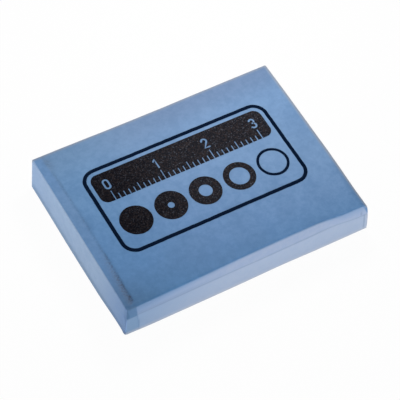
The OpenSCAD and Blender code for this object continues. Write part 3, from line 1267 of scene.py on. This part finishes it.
def block_of(nodes, outline):
    """A closed slab over a flat outline, half of it above the outline and half below"""
    sheet = nodes.add("GeometryNodeFillCurve", {"mode": "NGONS"}, {"Curve": outline}).out()
    low = moved(nodes, sheet, (0, 0, -STAMP_HEIGHT / 2 * MM))
    values = {"Mesh": low, "Offset Scale": STAMP_HEIGHT * MM, "Individual": False}
    raised = nodes.add("GeometryNodeExtrudeMesh", None, values).out()
    under = nodes.add("GeometryNodeFlipFaces", None, {"Mesh": low}).out()
    shell = nodes.add("GeometryNodeJoinGeometry", None, {"Geometry": [raised, under]}).out()
    return nodes.add("GeometryNodeMergeByDistance", None, {"Geometry": shell, "Distance": WELD * MM}).out()


def point_row(nodes, count, start, pitch):
    """Points at even distances along X"""
    values = {"Count": count, "Start Location": start, "Offset": (pitch, 0, 0)}
    return nodes.add("GeometryNodeMeshLine", None, values).out()


def instances(nodes, points, shape, scale, selection=True):
    """The shape on each selected point, at its own scale"""
    values = {"Points": points, "Instance": shape, "Scale": scale, "Selection": selection}
    return nodes.add("GeometryNodeInstanceOnPoints", None, values).out()


def every(number, count):
    """1 at each count-th point and 0 at the others"""
    return number.math("MODULO", count).math("LESS_THAN", 0.5)


def mark_cutters(nodes, sizes):
    """Boxes on the band's lower edge, longer for each fifth and tenth mark"""
    count = (NUMERAL_COUNT - 1) * MARKS_PER_NUMERAL + 1
    points = point_row(nodes, count, (scale_x * MM, band_low * MM, 0), TICK_PITCH * MM)
    number = nodes.add("GeometryNodeInputIndex").out()
    tenth = every(number, MARKS_PER_NUMERAL)
    fifth = every(number, MARKS_PER_NUMERAL / 2)
    short, middle, long = (2 * length * MM for length in TICK_LENGTHS)
    length = short + (middle - short) * fifth + (long - middle) * tenth
    box = nodes.add("GeometryNodeMeshCube", None, {"Size": (1, 1, 1)}).out()
    return instances(nodes, points, box, vector(nodes, sizes["Mark Width"], length, 2 * STAMP_HEIGHT * MM))


def numeral_cutters(nodes, sizes):
    """A round brush along each stroke and a ball on each of its ends"""
    radius = sizes["Numeral Stroke"] * 0.5
    strokes = nodes.add("GeometryNodeObjectInfo", None, {"Object": sizes["Numerals"]}).out("Geometry")
    values = {"Resolution": BRUSH_SIDES, "Radius": radius}
    brush = nodes.add("GeometryNodeCurvePrimitiveCircle", None, values).out()
    values = {"Curve": strokes, "Profile Curve": brush, "Fill Caps": True}
    swept = nodes.add("GeometryNodeCurveToMesh", None, values).out()
    values = {"Segments": BRUSH_SIDES, "Rings": BALL_RINGS, "Radius": radius}
    ball = nodes.add("GeometryNodeMeshUVSphere", None, values).out()
    ends = nodes.add("GeometryNodeCurveEndpointSelection").out()
    return swept, instances(nodes, strokes, ball, (1, 1, 1), ends)


def band_stamp(nodes, sizes):
    """The solid band, with its marks and numerals cut out of it"""
    outline = soft_rectangle(nodes, band_width * MM, sizes["Band Height"], BAND_RADIUS * MM)
    band = moved(nodes, block_of(nodes, outline), (frame_x * MM, band_y * MM, 0))
    return cut(nodes, band, [mark_cutters(nodes, sizes), *numeral_cutters(nodes, sizes)])


# %% Disc stamps
DISC_SIDES = 72


def disc_stamps(nodes, sizes):
    """A row of discs, each with a round opening one step wider than the last one's"""
    row_start = ((frame_x - (DISC_COUNT - 1) / 2 * disc_pitch) * MM, disc_y * MM, 0)
    points = point_row(nodes, DISC_COUNT, row_start, disc_pitch * MM)
    radius = sizes["Disc Diameter"] * 0.5
    values = {"Vertices": DISC_SIDES, "Radius": radius, "Depth": STAMP_HEIGHT * MM}
    disc = nodes.add("GeometryNodeMeshCylinder", None, values).out()
    step = (radius - sizes["Ring Line"]) * (1 / (DISC_COUNT - 1))
    values = {"Vertices": DISC_SIDES, "Radius": step, "Depth": 2 * STAMP_HEIGHT * MM}
    opening = nodes.add("GeometryNodeMeshCylinder", None, values).out()
    number = nodes.add("GeometryNodeInputIndex").out()
    after_first = number.math("GREATER_THAN", 0.5)
    openings = instances(nodes, points, opening, vector(nodes, number, number, 1), after_first)
    values = {"Geometry": instances(nodes, points, disc, (1, 1, 1))}
    discs = nodes.add("GeometryNodeRealizeInstances", None, values).out()
    return cut(nodes, discs, openings)


# %% [markdown]
# A film on the skin
#
# The stamps are deeper than the ink, so they reach through the block's skin. They
# are cut with the block and with a copy of it that is raised by the ink's
# thickness. What lies between the two is a film that follows every wave. Laying a
# flat print on the block instead would make it float over the dents and sink into
# the bumps.

# %% Ink film
PRINT_INPUTS = {
    "Block": "Object", "Numerals": "Object", "Line Width": "Float", "Frame Width": "Float",
    "Frame Depth": "Float", "Corner Radius": "Float", "Band Height": "Float", "Mark Width": "Float",
    "Numeral Stroke": "Float", "Disc Diameter": "Float", "Ring Line": "Float",
    "Ink Thickness": "Float", "Ink": "Material",
}
FACING_UP = 0.7


def film_between(nodes, stamps, rubber, thickness):
    """What the stamps leave between the block's skin and a copy of it that is raised"""
    lift = vector(nodes, 0, 0, thickness)
    raised = nodes.add("GeometryNodeSetPosition", None, {"Geometry": rubber, "Offset": lift}).out()
    film = cut(nodes, boolean(nodes, "INTERSECT", {"Mesh 2": [stamps, raised]}), rubber)
    facing = nodes.add("GeometryNodeInputNormal").out()
    height = nodes.add("ShaderNodeSeparateXYZ", None, {"Vector": facing}).out("Z")
    values = {"Geometry": film, "Shade Smooth": height.math("GREATER_THAN", FACING_UP)}
    return nodes.add("GeometryNodeSetShadeSmooth", None, values).out()


def print_group():
    """The whole print: stamps, cut down to a film on the block's skin"""
    tree, nodes, sizes = new_group("stamped_print", PRINT_INPUTS)
    frame_line = moved(nodes, frame_stamp(nodes, sizes), (frame_x * MM, frame_y * MM, 0))
    parts = [frame_line, band_stamp(nodes, sizes), disc_stamps(nodes, sizes)]
    stamps = nodes.add("GeometryNodeJoinGeometry", None, {"Geometry": parts}).out()
    stamps = nodes.add("GeometryNodeRealizeInstances", None, {"Geometry": stamps}).out()
    stamps = moved(nodes, stamps, (0, 0, HEIGHT * MM))
    rubber = nodes.add("GeometryNodeObjectInfo", None, {"Object": sizes["Block"]}).out("Geometry")
    film = film_between(nodes, stamps, rubber, sizes["Ink Thickness"])
    film = nodes.add("GeometryNodeRealizeInstances", None, {"Geometry": film}).out()
    inked = nodes.add("GeometryNodeSetMaterial", None, {"Geometry": film, "Material": sizes["Ink"]}).out()
    nodes.add("NodeGroupOutput", None, {"Geometry": inked})
    return tree


stamped_print = print_group()
print("nodes of the print:", len(stamped_print.nodes))

# %% [markdown]
# Ink
#
# Printing ink on soft rubber dries matt and cracks into tiny specks, so its solid
# areas are a mottled navy and brown black, a little more faded towards the right.
# The thin lines stay navy. The gloss is kept low, because even a little sheen would
# turn a black this deep into grey.

# %% Ink material
INK = srgb(4, 21, 44)
INK_SOLID = srgb(10, 12, 20)
INK_FADED = srgb(26, 28, 35)
FADED_X = (-17, 2)
INK_BROWN = srgb(68, 57, 54)
BROWN_SHARE = 0.35
BROWN_FADED = 0.25
INK_WORN = srgb(104, 112, 126)
WORN_LINES = 0.05
WORN_SOLIDS = 0.2
WORN_FADED = 0.3
SOLID_MARGIN = 0.1
INK_ROUGHNESS = 0.7
INK_GLOSS = 0.02


def solid_areas(axes):
    """1 on the band and on the wide discs, and 0 on the frame line and on the last, thin ring"""
    x, y = axes.out("X"), axes.out("Y")
    reach_x = (frame_width / 2 - band_inset + SOLID_MARGIN) * MM
    reach_y = (frame_depth / 2 - band_inset + SOLID_MARGIN) * MM
    inside_x = 1 - (x - frame_x * MM).math("ABSOLUTE").math("GREATER_THAN", reach_x)
    inside_y = 1 - (y - frame_y * MM).math("ABSOLUTE").math("GREATER_THAN", reach_y)
    ring_left = frame_x + (DISC_COUNT / 2 - 1) * disc_pitch
    ring_x = (x - ring_left * MM).math("GREATER_THAN", 0.0)
    ring_y = y.math("LESS_THAN", band_low * MM)
    return inside_x * inside_y * (1 - ring_x * ring_y)


def ink_material():
    """Matt navy ink, browner and specked where it is solid, and more so towards the right"""
    material, nodes = new_material("print_ink")
    place = nodes.add("ShaderNodeTexCoord").out("Object")
    axes = nodes.add("ShaderNodeSeparateXYZ", None, {"Vector": place})
    solid = solid_areas(axes)
    patch = nodes.noise(place, waves_per_mm=3.6, detail=3, roughness=0.7).ramp(0.42, 0.68)
    speck = nodes.noise(place, waves_per_mm=4.2, detail=2, roughness=0.6).ramp(0.58, 0.7)
    faded = axes.out("X").step(*FADED_X)
    ink = nodes.mix(solid, INK, nodes.mix(faded, INK_SOLID, INK_FADED))
    ink = nodes.mix(patch * solid * (BROWN_SHARE + faded * BROWN_FADED), ink, INK_BROWN)
    ink = nodes.mix(speck * (WORN_LINES + solid * (WORN_SOLIDS + faded * WORN_FADED)), ink, INK_WORN)
    values = {"Base Color": ink, "Roughness": INK_ROUGHNESS, "Specular IOR Level": INK_GLOSS}
    shader = nodes.add("ShaderNodeBsdfPrincipled", None, values).out()
    nodes.add("ShaderNodeOutputMaterial", None, {"Surface": shader})
    return material


ink_look = ink_material()
print("nodes of the ink:", len(ink_look.node_tree.nodes))

# %% Print the block
printed = grow("printed_marks", stamped_print, {
    "Block": rubber_block, "Numerals": numerals, "Line Width": FRAME_LINE * MM,
    "Frame Width": frame_width * MM, "Frame Depth": frame_depth * MM,
    "Corner Radius": FRAME_RADIUS * MM, "Band Height": BAND_HEIGHT * MM,
    "Mark Width": TICK_WIDTH * MM, "Numeral Stroke": NUMERAL_STROKE * MM,
    "Disc Diameter": DISC_DIAMETER * MM, "Ring Line": RING_LINE * MM,
    "Ink Thickness": INK_THICKNESS * MM, "Ink": ink_look,
})
bpy.data.objects.remove(numerals)
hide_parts("label_print")
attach(printed, "root")
print("ink film:", len(printed.data.vertices), "points,", len(printed.data.polygons), "faces")
